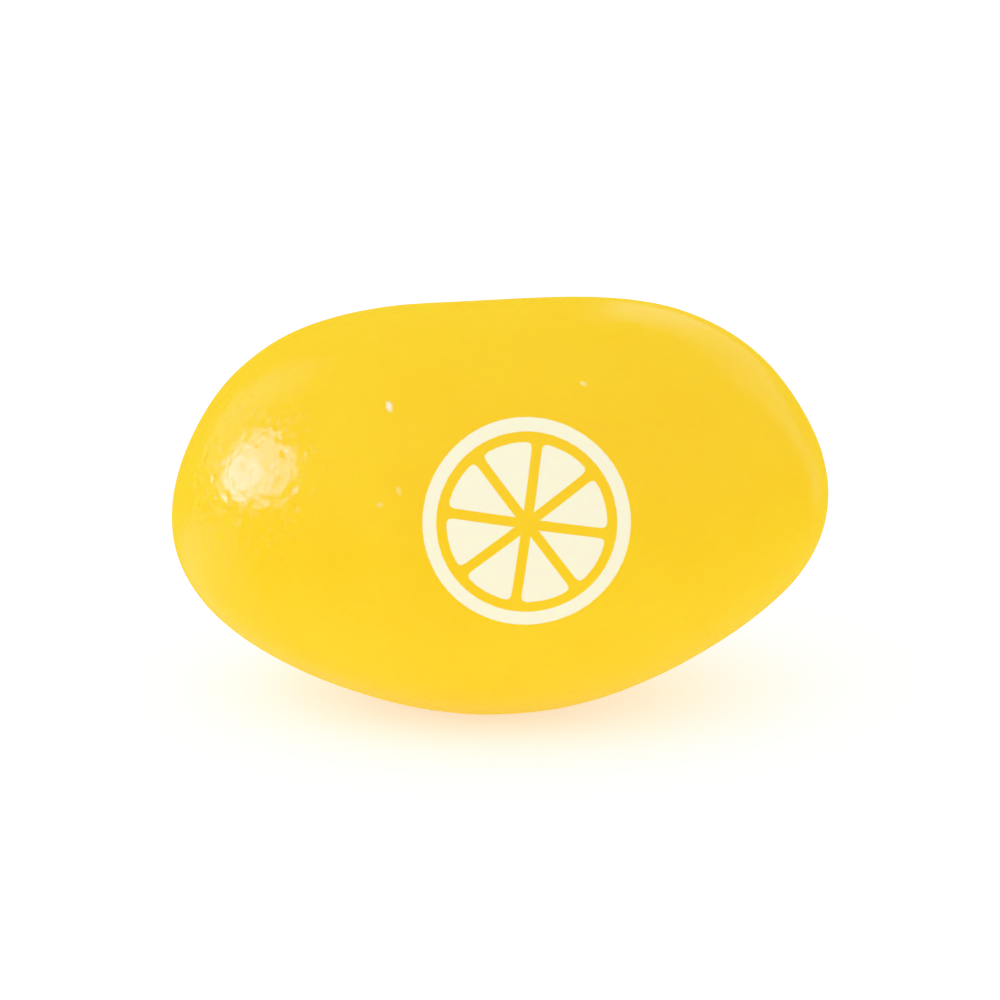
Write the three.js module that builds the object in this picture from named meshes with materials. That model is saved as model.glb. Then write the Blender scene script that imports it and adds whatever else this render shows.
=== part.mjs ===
// A jelly bean: one solid sweet in a hard, polished sugar shell, lying on its belly.
//
// Frame, in millimetres: +X runs along the bean towards its raised end, +Y to its back
// and +Z up. The bean rests on a small flat under its belly, at Z = 0, and the middle of
// its outline stands over the origin.

import * as THREE from 'three';
import { mergeVertices } from 'three/addons/utils/BufferGeometryUtils.js';

// ---- Overall size ----------------------------------------------------------------

const LENGTH = 16.0;
const WIDTH = 10.6;
const HEIGHT = 10.0; // from the resting flat to the top
const FLAT_DEPTH = 0.15; // how much of the round belly the resting flat takes away

// ---- Form of the shell -----------------------------------------------------------

const END_BLUNTNESS = 2.1; // 2 gives an ellipsoid's ends, and more gives blunter ones
const ENDS_RISE = 0.4; // how far both ends curl up from the middle
const ENDS_SWEEP = 0.35; // how far both ends curl towards the back
const LEAN = THREE.MathUtils.degToRad(3.3); // the +X end lies this much higher

// The shell bulges in and out in slow waves as it goes round. Each swell is seen flat in
// one plane: its waves count once round, its height and the angle where they start.
const SWELLS = [
  { plane: ['x', 'z'], waves: 3, height: 0.12, start: Math.PI },
  { plane: ['x', 'z'], waves: 5, height: 0.14, start: Math.PI },
  { plane: ['x', 'y'], waves: 3, height: 0.1, start: 0 },
  { plane: ['x', 'y'], waves: 4, height: 0.06, start: -Math.PI / 2 },
  { plane: ['y', 'z'], waves: 3, height: 0.07, start: Math.PI / 2 },
];

// Shallow dents where beans pressed on each other in the pan. The reach is on a ball of
// radius 1, and the depth is in millimetres.
const DENTS = [
  { towards: new THREE.Vector3(0.1, 0.62, 0.78).normalize(), reach: 0.42, depth: 0.16 },
  { towards: new THREE.Vector3(-0.62, 0.7, -0.25).normalize(), reach: 0.38, depth: 0.1 },
  { towards: new THREE.Vector3(0.7, -0.3, -0.62).normalize(), reach: 0.35, depth: 0.07 },
];

const BALL_DETAIL = 17; // 20 x (detail + 1)^2 triangles

// ---- The shell's surface ---------------------------------------------------------

const HALF_SIZE = new THREE.Vector3(LENGTH, WIDTH, HEIGHT + FLAT_DEPTH).divideScalar(2);

/** How far the shell stands out from a plain bean, in a direction from its middle. */
function unevenness(direction) {
  let height = 0;
  for (const swell of SWELLS) {
    const [across, up] = swell.plane;
    const radius = Math.hypot(direction[across], direction[up]);
    const angle = Math.atan2(direction[up], direction[across]);
    height += swell.height * radius ** swell.waves * Math.sin(swell.waves * angle + swell.start);
  }
  for (const dent of DENTS) {
    const distance = direction.distanceTo(dent.towards);
    height -= dent.depth * Math.exp(-((distance / dent.reach) ** 2));
  }
  return height;
}

/** The point of the shell that lies in a direction from the bean's middle. */
function shellPoint(direction) {
  const aside = Math.hypot(direction.y, direction.z);
  const ballRadius =
    (Math.abs(direction.x) ** END_BLUNTNESS + aside ** END_BLUNTNESS) ** (-1 / END_BLUNTNESS);
  const onBall = direction.clone().multiplyScalar(ballRadius);
  const outward = onBall.clone().divide(HALF_SIZE).normalize();

  const point = onBall.clone().multiply(HALF_SIZE);
  point.y += ENDS_SWEEP * onBall.x ** 2;
  point.z += ENDS_RISE * onBall.x ** 2;
  return point.addScaledVector(outward, unevenness(direction));
}

// ---- The solid -------------------------------------------------------------------

/** Scales a geometry to the overall size, with its belly just below the resting plane. */
function fitToSize(geometry) {
  geometry.computeBoundingBox();
  const size = geometry.boundingBox.getSize(new THREE.Vector3());
  const scale = HALF_SIZE.clone().multiplyScalar(2).divide(size);
  geometry.scale(scale.x, scale.y, scale.z);

  geometry.computeBoundingBox();
  const { min, max } = geometry.boundingBox;
  geometry.translate(-(min.x + max.x) / 2, -(min.y + max.y) / 2, -min.z - FLAT_DEPTH);
}

/** Presses what lies below the resting plane up into one flat face. */
function flattenBelly(geometry) {
  const vertices = geometry.getAttribute('position');
  for (let i = 0; i < vertices.count; i += 1) {
    vertices.setZ(i, Math.max(vertices.getZ(i), 0));
  }
}

function beanGeometry() {
  const ball = new THREE.IcosahedronGeometry(1, BALL_DETAIL);
  ball.deleteAttribute('normal');
  ball.deleteAttribute('uv');

  const geometry = mergeVertices(ball);
  const vertices = geometry.getAttribute('position');
  const direction = new THREE.Vector3();
  for (let i = 0; i < vertices.count; i += 1) {
    direction.fromBufferAttribute(vertices, i).normalize();
    const point = shellPoint(direction);
    vertices.setXYZ(i, point.x, point.y, point.z);
  }

  geometry.rotateY(-LEAN);
  fitToSize(geometry);
  flattenBelly(geometry);
  geometry.computeVertexNormals();
  return geometry;
}

// ---- The sweet -------------------------------------------------------------------

const candyShell = new THREE.MeshStandardMaterial({
  name: 'candy_shell',
  color: 0xfad32d, // warm lemon yellow
  roughness: 0.2,
  metalness: 0,
});

const jellyBean = new THREE.Mesh(beanGeometry(), candyShell);
jellyBean.name = 'jelly_bean';

const sweet = new THREE.Group();
sweet.add(jellyBean);

export default sweet;
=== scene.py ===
# A lemon-yellow jelly bean: a soft sweet in a polished sugar shell, with a citrus wheel
# printed on its front in edible ink. It lies on its belly on a white table.
#
# Everything is in metres, in the frame of the solid: +X along the bean, +Y to its back.

import math

import bmesh
import bpy
from mathutils import Matrix, Quaternion, Vector, noise
from mathutils.bvhtree import BVHTree


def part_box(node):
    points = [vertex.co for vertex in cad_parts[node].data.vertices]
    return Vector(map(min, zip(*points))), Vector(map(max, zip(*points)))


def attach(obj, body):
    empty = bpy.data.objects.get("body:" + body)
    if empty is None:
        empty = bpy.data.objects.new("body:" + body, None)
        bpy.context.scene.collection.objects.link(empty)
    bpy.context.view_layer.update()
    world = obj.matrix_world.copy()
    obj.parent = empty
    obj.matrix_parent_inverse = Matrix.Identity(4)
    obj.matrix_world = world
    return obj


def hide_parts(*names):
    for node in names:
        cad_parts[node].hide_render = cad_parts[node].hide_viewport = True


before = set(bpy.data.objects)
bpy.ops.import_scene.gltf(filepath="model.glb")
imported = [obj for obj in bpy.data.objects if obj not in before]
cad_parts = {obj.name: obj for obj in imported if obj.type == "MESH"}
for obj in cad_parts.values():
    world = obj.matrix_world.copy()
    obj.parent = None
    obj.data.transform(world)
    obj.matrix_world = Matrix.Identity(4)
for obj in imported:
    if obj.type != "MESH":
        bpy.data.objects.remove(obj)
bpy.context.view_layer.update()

MM = 0.001

BEAN_LOW, BEAN_HIGH = (Vector(corner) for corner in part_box("jelly_bean"))
BEAN_SIZE = BEAN_HIGH - BEAN_LOW
BEAN_MIDDLE = (BEAN_LOW + BEAN_HIGH) / 2

# ---- Form of the shell, as the solid has it --------------------------------------------

FLAT_DEPTH = 0.15 * MM  # what the resting flat takes off the round belly
HALF_SIZE = (BEAN_SIZE + Vector((0, 0, FLAT_DEPTH))) / 2  # with the belly still round
END_BLUNTNESS = 2.1  # 2 gives an ellipsoid's ends, and more gives blunter ones
ENDS_RISE = 0.4 * MM
ENDS_SWEEP = 0.35 * MM
LEAN = math.radians(3.3)  # the +X end lies this much higher

# The plane that a swell is seen flat in, its waves once round, its height and its start.
SWELLS = (
    ("x", "z", 3, 0.12 * MM, math.pi),
    ("x", "z", 5, 0.14 * MM, math.pi),
    ("x", "y", 3, 0.10 * MM, 0.0),
    ("x", "y", 4, 0.06 * MM, -math.pi / 2),
    ("y", "z", 3, 0.07 * MM, math.pi / 2),
)

# Where a dent lies, its reach on a ball of radius 1, and its depth.
DENTS = (
    (Vector((0.10, 0.62, 0.78)).normalized(), 0.42, 0.16 * MM),
    (Vector((-0.62, 0.70, -0.25)).normalized(), 0.38, 0.10 * MM),
    (Vector((0.70, -0.30, -0.62)).normalized(), 0.35, 0.07 * MM),
)

# ---- What the sugar coats add, finer than the solid has it -----------------------------

BALL_CUTS = 119  # on each edge of the cube that the ball is made from
PEEL = ((1.5 * MM, 0.011 * MM), (0.6 * MM, 0.0035 * MM))  # wavelength and height

# Grains of sugar caught under the last coat: azimuth and elevation from the bean's middle,
# length, width, how far each is turned on the shell, and how pale it shows. Angles are in
# degrees.
GRAINS = (
    (-38.3, 40.1, 0.30 * MM, 0.15 * MM, -62, 0.9),
    (32.9, 48.0, 0.19 * MM, 0.12 * MM, -45, 0.4),
    (-27.5, 20.1, 0.24 * MM, 0.12 * MM, -70, 0.25),
    (-31.6, 16.0, 0.17 * MM, 0.13 * MM, 0, 0.25),
    (118.0, 30.0, 0.22 * MM, 0.12 * MM, 25, 0.6),
    (-165.0, 38.0, 0.26 * MM, 0.12 * MM, 70, 0.8),
    (-117.0, 6.0, 0.16 * MM, 0.12 * MM, 10, 0.3),
    (148.0, -12.0, 0.20 * MM, 0.13 * MM, -35, 0.4),
)
GRAIN_HEIGHT = 0.03 * MM
GRAIN_REACH = 0.6 * MM  # how far in and out of the shell a grain's mark goes


def towards(azimuth, elevation):
    """A direction from the bean, in degrees: azimuth 0 is its front and 90 its right end."""
    a, e = math.radians(azimuth), math.radians(elevation)
    return Vector((math.sin(a) * math.cos(e), -math.cos(a) * math.cos(e), math.sin(e)))


def unevenness(direction):
    """How far the shell stands out from a plain bean, in a direction from its middle."""
    height = 0.0
    for across, up, waves, size, start in SWELLS:
        a, b = getattr(direction, across), getattr(direction, up)
        height += size * math.hypot(a, b) ** waves * math.sin(waves * math.atan2(b, a) + start)
    for place, reach, depth in DENTS:
        height -= depth * math.exp(-((direction - place).length / reach) ** 2)
    return height


def peel(point):
    """The low orange-peel relief that the sugar coats dry with."""
    return sum(height * noise.noise(point / wavelength) for wavelength, height in PEEL)


def shell_point(direction):
    """The point of the shell that lies in a direction from the bean's middle."""
    aside = math.hypot(direction.y, direction.z)
    ball_radius = (abs(direction.x) ** END_BLUNTNESS + aside**END_BLUNTNESS) ** (-1 / END_BLUNTNESS)
    on_ball = direction * ball_radius
    outward = Vector(p / h for p, h in zip(on_ball, HALF_SIZE)).normalized()

    point = on_ball * HALF_SIZE
    point.y += ENDS_SWEEP * on_ball.x**2
    point.z += ENDS_RISE * on_ball.x**2
    return point + outward * (unevenness(direction) + peel(point))


def corners(shape):
    """Lowest and highest corner of a bmesh."""
    places = [vert.co for vert in shape.verts]
    return (Vector(pick(axis) for axis in zip(*places)) for pick in (min, max))


def even_ball(cuts):
    """A ball of radius 1, from a cube with its faces cut into grids of even squares."""
    ball = bmesh.new()
    bmesh.ops.create_cube(ball, size=2)
    bmesh.ops.subdivide_edges(ball, edges=ball.edges[:], cuts=cuts, use_grid_fill=True)
    for vert in ball.verts:
        vert.co = Vector(math.tan(c * math.pi / 4) for c in vert.co).normalized()
    return ball


def spot_on(shell, azimuth, elevation, turn):
    """Where the shell lies in a direction, and a turn that faces out of it there."""
    place, normal, _, _ = shell.ray_cast(BEAN_MIDDLE, towards(azimuth, elevation))
    facing = normal.to_track_quat("Z", "Y") @ Quaternion((0, 0, 1), math.radians(turn))
    return place, facing


def raise_grain(shape, place, facing, size):
    """Lifts the shell over a grain that lies under it."""
    from_grain = Matrix.LocRotScale(place, facing, size).inverted()
    for vert in shape.verts:
        vert.co += vert.normal * GRAIN_HEIGHT * math.exp(-(from_grain @ vert.co).length_squared)


def make_bean():
    """The bean, and the spots on it where its print and its grains lie."""
    shape = even_ball(BALL_CUTS)
    for vert in shape.verts:
        vert.co = shell_point(vert.co)
    bmesh.ops.rotate(shape, matrix=Matrix.Rotation(-LEAN, 3, "Y"), verts=shape.verts[:])

    low, high = corners(shape)
    to_size = Vector(2 * half / size for half, size in zip(HALF_SIZE, high - low))
    bmesh.ops.scale(shape, vec=to_size, verts=shape.verts[:])
    low, high = corners(shape)
    to_place = Vector((-(low.x + high.x) / 2, -(low.y + high.y) / 2, -low.z - FLAT_DEPTH))
    to_place += Vector((BEAN_MIDDLE.x, BEAN_MIDDLE.y, BEAN_LOW.z))
    bmesh.ops.translate(shape, vec=to_place, verts=shape.verts[:])

    shape.normal_update()
    shell = BVHTree.FromBMesh(shape)
    print_spot = spot_on(shell, *MARK_TOWARDS, MARK_TURN)
    grain_spots = []
    for azimuth, elevation, length, width, turn, paleness in GRAINS:
        place, facing = spot_on(shell, azimuth, elevation, turn)
        size = Vector((length / 2, width / 2, GRAIN_REACH))
        grain_spots.append((place, facing, size, paleness))
        raise_grain(shape, place, facing, size)
    for vert in shape.verts:
        vert.co.z = max(vert.co.z, BEAN_LOW.z)
    return finished(shape, "bean"), print_spot, grain_spots


def finished(shape, name):
    """The object that a bmesh becomes, in the scene and smooth-shaded."""
    mesh = bpy.data.meshes.new(name)
    shape.to_mesh(mesh)
    shape.free()
    mesh.shade_smooth()
    thing = bpy.data.objects.new(name, mesh)
    bpy.context.scene.collection.objects.link(thing)
    return thing


# ---- Shader maths ----------------------------------------------------------------------


class Value:
    """A shader socket that arithmetic works on: each step adds the Math node it needs."""

    def __init__(self, shading, socket):
        self.shading = shading
        self.socket = socket

    def math(self, operation, *terms):
        return self.shading.math(operation, self, *terms)

    def __add__(self, other):
        return self.math("ADD", other)

    __radd__ = __add__

    def __mul__(self, other):
        return self.math("MULTIPLY", other)

    __rmul__ = __mul__

    def __sub__(self, other):
        return self.math("SUBTRACT", other)

    def __rsub__(self, other):
        return self.shading.math("SUBTRACT", other, self)

    def __abs__(self):
        return self.math("ABSOLUTE")

    def step(self, start, end):
        """0 up to start and 1 from end on, with a smooth rise between them."""
        rise = {"Value": self, "From Min": start, "From Max": end}
        return self.shading.add("ShaderNodeMapRange", {"interpolation_type": "SMOOTHSTEP"}, rise)


class Shading:
    """A node tree, and the nodes that are added to it."""

    def __init__(self, tree):
        self.tree = tree
        self.tree.nodes.clear()

    def add(self, kind, settings=(), sockets=(), take=0):
        """Adds a node with its settings and then its sockets, and returns one output."""
        node = self.tree.nodes.new(kind)
        for name, value in dict(settings).items():
            setattr(node, name, value)
        for name, value in dict(sockets).items():
            if isinstance(value, Value):
                self.tree.links.new(value.socket, node.inputs[name])
            else:
                node.inputs[name].default_value = value
        return Value(self, node.outputs[take]) if node.outputs else None

    def math(self, operation, *terms):
        return self.add("ShaderNodeMath", {"operation": operation}, dict(enumerate(terms)))

    def mix(self, factor, first, second):
        """A colour that goes from the first to the second."""
        # By number, because the colours' sockets share their names with other types' sockets.
        sockets = {0: factor, 6: first, 7: second}
        return self.add("ShaderNodeMix", {"data_type": "RGBA"}, sockets, take=2)

    def parts(self, vector):
        """The X, the Y and the Z of a vector."""
        return [
            self.add("ShaderNodeSeparateXYZ", (), {"Vector": vector}, take=axis) for axis in "XYZ"
        ]

    def distance(self, place, spot=(0, 0, 0)):
        """How far each place is from a spot."""
        sockets = {0: place, 1: spot}
        return self.add("ShaderNodeVectorMath", {"operation": "DISTANCE"}, sockets, take="Value")

    def noise(self, place, size, detail=2.0):
        """Soft noise from 0 to 1, with lumps of about that size."""
        sockets = {"Vector": place, "Scale": 1 / size, "Detail": detail}
        return self.add("ShaderNodeTexNoise", (), sockets, take="Fac")

    def from_spot(self, place, spot, facing, size=(1, 1, 1)):
        """Coordinates with their origin on a spot, their Z out of it and its size as 1."""
        sockets = {"Vector": place, "Location": spot, "Rotation": facing.to_euler(), "Scale": size}
        return self.add("ShaderNodeMapping", {"vector_type": "TEXTURE"}, sockets)


class Finish(Shading):
    """A material and its nodes."""

    def __init__(self, name):
        self.material = bpy.data.materials.new(name)
        self.material.use_nodes = True
        super().__init__(self.material.node_tree)

    def surface(self, **sockets):
        named = {name.replace("_", " "): value for name, value in sockets.items()}
        shader = self.add("ShaderNodeBsdfPrincipled", (), named)
        self.add("ShaderNodeOutputMaterial", (), {"Surface": shader})
        return self.material


# ---- The sugar shell, its printed mark and its grains ----------------------------------

SHELL_LIGHT = (0.975, 0.556, 0.0192, 1)
SHELL_DEEP = (0.970, 0.538, 0.0157, 1)
INK_CREAM = (1.0, 0.860, 0.620, 1)
GRAIN_CREAM = (1.0, 0.800, 0.600, 1)
CLOUD_SIZE = 2.2 * MM  # of the slow change between the two yellows
CLOUD_FADE = (0.3, 0.7)

SUGAR_IOR = 1.5
GEL_REACH = 2.0 * MM  # how far red light spreads in the sweet
GEL_SHARES = (1.0, 0.55, 0.08)  # how far red, green and blue spread, as shares of that

# The printed citrus wheel: a rind round its wedges.
MARK_TOWARDS = (7.2, 13.7)  # azimuth and elevation from the bean's middle, in degrees
MARK_TURN = 14  # how far it is turned on the shell, in degrees
RIND_OUTER = 2.5 * MM
RIND_INNER = 2.15 * MM
WEDGES_OUTER = 1.93 * MM
WEDGE_COUNT = 8
WEDGE_INSET = 0.11 * MM  # of each wedge from the line between it and the next
WEDGE_ROUNDING = 0.25 * MM
MARK_REACH = (1.2 * MM, 1.44 * MM)  # how far in and out of its spot the ink fades
INK_EDGE = 0.025 * MM  # how wide the ink's edge is soft and ragged
INK_LUMP = 0.12 * MM  # how long the lumps along that edge are

# The pale mark of a grain under the last coat: the size of the lumps in it, then how far they
# reach and how it fades from its middle, in radii of the grain.
GRAIN_LUMP = 0.05 * MM
GRAIN_RAGGEDNESS = 0.9
GRAIN_FADE = (0.4, 1.4)

# The last coat is low pebbles with a pit here and there. The ink and the grains stand out of
# it. Heights are shares of RELIEF, and the radius of a pit is a share of PIT_SPACING.
RELIEF = 0.02 * MM
PEBBLE_SIZE = 0.28 * MM
PIT_SPACING = 0.42 * MM
PIT_RADIUS = 0.40
PIT_DEPTH = 0.3
COAT_HEIGHT = 0.5
INK_HEIGHT = 0.3
GRAIN_MARK_HEIGHT = 0.8

# Round this spot the polish is least even: the coat is deeper and has dull specks.
WORN_SPOT = Vector((-6.1, -2.6, 6.6)) * MM
WORN_FADE = (1.4 * MM, 3.2 * MM)
WORN_COAT_HEIGHT = 1.1
WORN_PIT_DEPTH = 0.4
SPECK_SIZE = 0.26 * MM
SPECK_FADE = (0.50, 0.62)

# How rough the polished coat is, and what is added to it.
POLISH_ROUGHNESS = 0.15
PEBBLE_ROUGHNESS = 0.06
INK_ROUGHNESS = 0.2
SPECK_ROUGHNESS = 0.15


def citrus_wheel(finish, place, spot, facing):
    """1 on the ink of the printed wheel and 0 elsewhere."""
    across, up, out = finish.parts(finish.from_spot(place, spot, facing))
    ragged = (finish.noise(place, INK_LUMP) - 0.5) * INK_EDGE
    radius = (across * across + up * up).math("SQRT") + ragged
    angle = up.math("ARCTAN2", across)

    half_wedge = math.pi / WEDGE_COUNT
    from_border = half_wedge - abs(angle.math("WRAP", half_wedge, -half_wedge))
    to_border = radius * from_border.math("SINE") - WEDGE_INSET
    to_rim = WEDGES_OUTER - radius
    wedges = to_border.math("SMOOTH_MIN", to_rim, WEDGE_ROUNDING).step(0, INK_EDGE)
    rind = (radius - RIND_INNER).math("MINIMUM", RIND_OUTER - radius).step(0, INK_EDGE)
    near = 1 - abs(out).step(*MARK_REACH)
    return wedges.math("MAXIMUM", rind) * near


def grain_marks(finish, place, spots):
    """How pale the grains of sugar make the shell: 0 where there are none."""
    ragged = (finish.noise(place, GRAIN_LUMP) - 0.5) * GRAIN_RAGGEDNESS
    marks = 0.0
    for spot, facing, size, paleness in spots:
        radius = finish.distance(finish.from_spot(place, spot, facing, size))
        marks = (1 - (radius + ragged).step(*GRAIN_FADE)) * paleness + marks
    return marks


def shell_colour(finish, place, ink, grains):
    """Two close yellows in slow clouds, with the grains and the ink on them."""
    cloud = finish.noise(place, CLOUD_SIZE, detail=3)
    colour = finish.mix(cloud.step(*CLOUD_FADE), SHELL_DEEP, SHELL_LIGHT)
    colour = finish.mix(grains, colour, GRAIN_CREAM)
    return finish.mix(ink, colour, INK_CREAM)


def last_coat(finish, place, ink, grains):
    """How rough the last coat of sugar is, and its normal over the fine relief."""
    pebbles = finish.noise(place, PEBBLE_SIZE, detail=1.0)
    cells = {"Vector": place, "Scale": 1 / PIT_SPACING}
    from_pit = finish.add("ShaderNodeTexVoronoi", (), cells, take="Distance")
    pits = 1 - from_pit.step(0, PIT_RADIUS)
    worn = 1 - finish.distance(place, WORN_SPOT).step(*WORN_FADE)
    specks = finish.noise(place, SPECK_SIZE).step(*SPECK_FADE) * worn

    rough = POLISH_ROUGHNESS + pebbles * PEBBLE_ROUGHNESS
    rough = rough + ink * INK_ROUGHNESS + specks * SPECK_ROUGHNESS

    coat = pebbles - pits * (PIT_DEPTH + worn * WORN_PIT_DEPTH)
    height = coat * (COAT_HEIGHT + worn * WORN_COAT_HEIGHT)
    height = height + ink * INK_HEIGHT + grains * GRAIN_MARK_HEIGHT
    normal = finish.add("ShaderNodeBump", (), {"Distance": RELIEF, "Height": height})
    return rough, normal


def sugar_shell(print_spot, grain_spots):
    """Polished yellow sugar over a soft gel, with the print and the grains on it."""
    finish = Finish("sugar_shell")
    place = finish.add("ShaderNodeTexCoord", take="Object")
    ink = citrus_wheel(finish, place, *print_spot)
    grains = grain_marks(finish, place, grain_spots)
    rough, normal = last_coat(finish, place, ink, grains)
    return finish.surface(
        Base_Color=shell_colour(finish, place, ink, grains),
        Roughness=rough,
        Normal=normal,
        IOR=SUGAR_IOR,
        Subsurface_Weight=1.0,
        Subsurface_Radius=GEL_SHARES,
        Subsurface_Scale=GEL_REACH,
    )


def paint(thing, material):
    thing.data.materials.clear()
    thing.data.materials.append(material)


# ---- The table -------------------------------------------------------------------------

TABLE_SIZE = 4.0
TABLE_WHITE = (0.90, 0.90, 0.90, 1)
TABLE_FAR = (0.86, 0.86, 0.86, 1)
TABLE_ROUGHNESS = 0.7
# Painted light: near the bean the table gives off a glow, though it is no lamp, which lifts the
# shade round the bean.
TABLE_PAINTED_GLOW = 0.50
TABLE_PAINTED_GLOW_FADE = (0.06, 0.35)  # how far from the bean the painted glow fades out, and the table's white turns to a slightly darker grey
BLACK = (0, 0, 0, 1)


def white_table():
    """A matt white, painted with a glow near the bean as if it gave off light, which lifts the
    shade there; its white is also a little lighter near the bean than the grey farther off.
    """
    finish = Finish("white_table")
    place = finish.add("ShaderNodeTexCoord", take="Object")
    away = finish.distance(place).step(*TABLE_PAINTED_GLOW_FADE)
    return finish.surface(
        Base_Color=finish.mix(away, TABLE_WHITE, TABLE_FAR),
        Roughness=TABLE_ROUGHNESS,
        Specular_IOR_Level=0.0,
        # Painted glow: light that the table gives off near the bean, fading out farther away.
        Emission_Color=finish.mix(away, TABLE_WHITE, BLACK),
        Emission_Strength=TABLE_PAINTED_GLOW,
    )


def make_table():
    shape = bmesh.new()
    bmesh.ops.create_grid(shape, x_segments=1, y_segments=1, size=TABLE_SIZE / 2)
    bmesh.ops.translate(shape, vec=(0, 0, BEAN_LOW.z), verts=shape.verts[:])
    table = finished(shape, "table")
    table.visible_glossy = False
    paint(table, white_table())
    return table


# ---- Lamps -----------------------------------------------------------------------------

WHITE = (1.0, 1.0, 1.0)
KEY_TINT = (1.0, 0.70, 1.0)  # with less green, so that the bright spot on the shell is warm

# Where each lamp hangs: azimuth, elevation and distance from the bean's middle. Then how wide
# and high it looks from there, its radiance and its roll. Angles are in degrees.
KEY_LAMPS = {
    "key": (-74.2, 17.0, 10.4 * MM, (26.2, 19.6), 4.75, 14),
    "key_core": (-78.6, 12.1, 10.2 * MM, (17.0, 10.8), 4.4, 14),
}
CARDS = {
    "strip": (-129, 22, 0.35, (14, 24), 0.20, 0),
    "strip_edge": (-128, 22, 0.36, (26, 46), 0.42, 0),
    "rear_card": (151.5, 18, 0.45, (47, 33), 0.26, 10),
    "rear_core": (168, 19, 0.46, (13, 26), 0.18, 15),
}
SIDE_FILL = (-70, 40, 0.40, (60, 40), 0.8, 0)
AREA_SHARE = {"RECTANGLE": 1.0, "ELLIPSE": math.pi / 4}  # of its width times its height


def look_at_bean(thing, azimuth, elevation, distance, roll=0):
    """Puts a lamp or a camera in the scene, so that it faces the bean's middle."""
    back = towards(azimuth, elevation)
    upright = back.to_track_quat("Z", "Y")
    thing.location = BEAN_MIDDLE + back * distance
    thing.rotation_euler = (upright @ Quaternion((0, 0, 1), math.radians(roll))).to_euler()
    bpy.context.scene.collection.objects.link(thing)


def softbox(name, setup, colour=WHITE, shape="RECTANGLE"):
    """A lamp that faces the bean's middle, and looks that wide, high and bright from there."""
    azimuth, elevation, distance, spread, radiance, roll = setup
    lamp = bpy.data.lights.new(name, "AREA")
    lamp.shape = shape
    lamp.size, lamp.size_y = (2 * distance * math.tan(math.radians(s) / 2) for s in spread)
    lamp.color = colour
    lamp.energy = radiance * math.pi * lamp.size * lamp.size_y * AREA_SHARE[shape]
    box = bpy.data.objects.new(name, lamp)
    box.visible_camera = False
    look_at_bean(box, azimuth, elevation, distance, roll)
    return box


def hang_lamps():
    """Lamps that the shell mirrors and that light nothing else, and a fill that it doesn't."""
    mirrored = [softbox(name, setup, KEY_TINT, "ELLIPSE") for name, setup in KEY_LAMPS.items()]
    mirrored += [softbox(name, setup) for name, setup in CARDS.items()]
    for box in mirrored:
        box.visible_diffuse = False
    side_fill = softbox("side_fill", SIDE_FILL)
    side_fill.visible_glossy = False


# ---- The light all round ---------------------------------------------------------------

SKY_FILL = (0.945, 0.945, 0.945, 1)
SKY_TOP = (1.335, 1.335, 1.335, 1)
BACKDROP = (1.02, 1.02, 1.02, 1)

# What the shell mirrors.
SKY_GLOSS = (0.85, 0.75, 0.0, 1)
SWEETS_GLOSS = (1.20, 0.74, 0.045, 1)  # other sweets that lie around
TABLE_GLOSS = (1.3, 1.08, 0.60, 1)  # the open table
UNDER_GLOSS = (1.2, 0.74, 0.17, 1)  # the table right under the bean, which the bean tints
GAP_GLOSS = (1.2, 0.85, 0.30, 1)  # a glimpse of the table between two of the other sweets

# Where each of them lies, on a ball of radius 1 round the bean: where it fades in along an
# axis, or how far round a place on the ball it fades out.
HIGH_FADE = (0.45, 0.75)
UNDER_FADE = (0.1, 0.9)
GAP_PLACE = (0.655, 0.740, -0.152)
GAP_FADE = (0.04, 0.20)
OPEN_DOWN_FADE = (0.0, 0.1)
OPEN_BACK_FADE = (-0.25, 0.12)
OPEN_LEFT_FADE = (0.95, 1.28)
OPEN_SLANT = 1.5  # how much further right the open table reaches for each step down


def low_gloss(nodes, direction, right, back, down):
    """What the shell mirrors below the sky: other sweets, and the table between them."""
    to_left = (down * OPEN_SLANT - right).step(*OPEN_LEFT_FADE)
    open_table = to_left * back.step(*OPEN_BACK_FADE) * down.step(*OPEN_DOWN_FADE)
    gap = 1 - nodes.distance(direction, GAP_PLACE).step(*GAP_FADE)
    gloss = nodes.mix(open_table, SWEETS_GLOSS, TABLE_GLOSS)
    gloss = nodes.mix(down.step(*UNDER_FADE), gloss, UNDER_GLOSS)
    return nodes.mix(gap, gloss, GAP_GLOSS)


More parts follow.
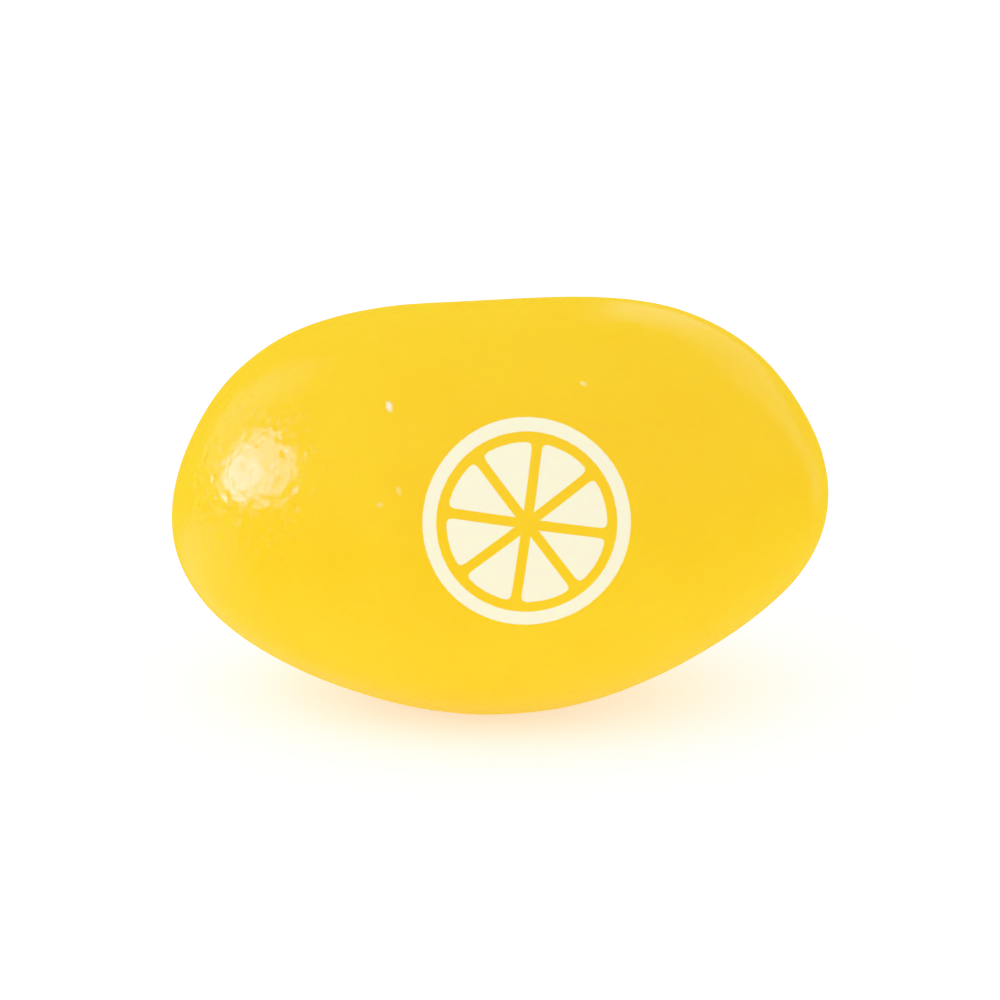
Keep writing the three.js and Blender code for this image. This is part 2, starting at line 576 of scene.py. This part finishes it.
def light_sky():
    """Soft white light all round, a plain backdrop, and what the shell mirrors."""
    world = bpy.data.worlds.new("studio")
    world.use_nodes = True
    nodes = Shading(world.node_tree)
    direction = nodes.add("ShaderNodeTexCoord", take="Generated")
    right, back, up = nodes.parts(direction)
    high = up.step(*HIGH_FADE)

    fill = nodes.mix(high, SKY_FILL, SKY_TOP)
    gloss = nodes.mix(high, low_gloss(nodes, direction, right, back, 0 - up), SKY_GLOSS)
    shiny = nodes.add("ShaderNodeLightPath", take="Is Glossy Ray")
    seen = nodes.add("ShaderNodeLightPath", take="Is Camera Ray")
    light = nodes.mix(seen, nodes.mix(shiny, fill, gloss), BACKDROP)
    background = nodes.add("ShaderNodeBackground", (), {"Color": light})
    nodes.add("ShaderNodeOutputWorld", (), {"Surface": background})
    bpy.context.scene.world = world


# ---- Camera and exposure ---------------------------------------------------------------

CAMERA_PLACE = (0, 20, 0.27)  # azimuth, elevation and distance from the bean's middle
CAMERA_LENS = 400  # millimetres: from there it sees 24 mm across at the bean
CAMERA_NEAR = 0.01  # nothing nearer to it is seen

EXPOSED_WHITE = 1.39  # the brightness that shows as full white
SHOULDER = 1.5  # the power that the brightest tones bend over with
SHOULDER_POINTS = (0.2, 0.4, 0.6, 0.8, 0.9)  # shares of full white that the curve is set at
ALL_COLOURS = 3  # the curve that red, green and blue share


def make_camera():
    data = bpy.data.cameras.new("camera")
    data.lens = CAMERA_LENS
    data.clip_start = CAMERA_NEAR
    camera = bpy.data.objects.new("camera", data)
    look_at_bean(camera, *CAMERA_PLACE)
    bpy.context.scene.camera = camera


def expose():
    """A plain view of the colours, in which the brightest tones bend softly over to white."""
    view = bpy.context.scene.view_settings
    view.view_transform = "Standard"
    view.use_curve_mapping = True
    curves = view.curve_mapping
    curves.white_level = (EXPOSED_WHITE,) * 3
    for share in SHOULDER_POINTS:
        curves.curves[ALL_COLOURS].points.new(share, 1 - (1 - share) ** SHOULDER)
    curves.update()


# ---- Making it all ---------------------------------------------------------------------

bean, print_spot, grain_spots = make_bean()
paint(bean, sugar_shell(print_spot, grain_spots))
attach(bean, "root")
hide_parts("jelly_bean")

make_table()
hang_lamps()
light_sky()
make_camera()
expose()
